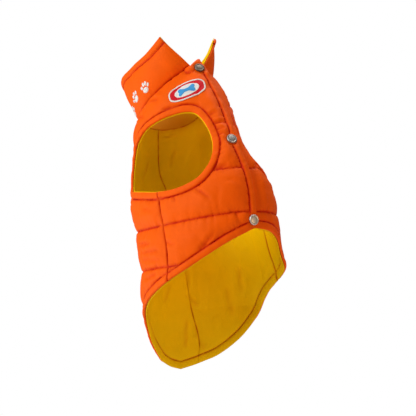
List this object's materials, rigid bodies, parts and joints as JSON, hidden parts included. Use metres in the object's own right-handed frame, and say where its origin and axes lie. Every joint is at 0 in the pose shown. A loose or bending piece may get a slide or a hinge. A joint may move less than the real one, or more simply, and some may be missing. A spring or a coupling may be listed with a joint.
{
  "type": "dog winter coat, quilted vest in its worn form",
  "caption": "Quilted padded dog vest with stand collar, open armholes, snap placket on the belly and a long rounded tail panel, held open as worn.",
  "frame": {"origin": "inside the coat on its middle plane, just below the armholes, where the dog's body carries it", "axes": "+Z towards the collar, -Y out of the belly, -X towards the dog's right side"},
  "size_m": [0.1747, 0.2448, 0.4092],
  "materials": {
    "orange_cloth": "matt woven nylon, padded and quilted",
    "yellow_lining": "smooth woven lining with a soft sheen",
    "badge_cloth": "embroidered patch",
    "snap_metal": "satin nickel"
  },
  "bodies": {
    "root": {"back_shell": "orange_cloth", "front_right_shell": "orange_cloth", "front_left_shell": "orange_cloth", "collar_shell": "orange_cloth", "back_lining_right": "yellow_lining", "back_lining_left": "yellow_lining", "front_right_lining": "yellow_lining", "front_left_lining": "yellow_lining", "collar_lining": "yellow_lining", "badge": "badge_cloth", "snap_cap_1": "snap_metal", "snap_cap_2": "snap_metal", "snap_cap_3": "snap_metal", "snap_back_1": "snap_metal", "snap_back_2": "snap_metal", "snap_back_3": "snap_metal"}
  },
  "joints": []
}
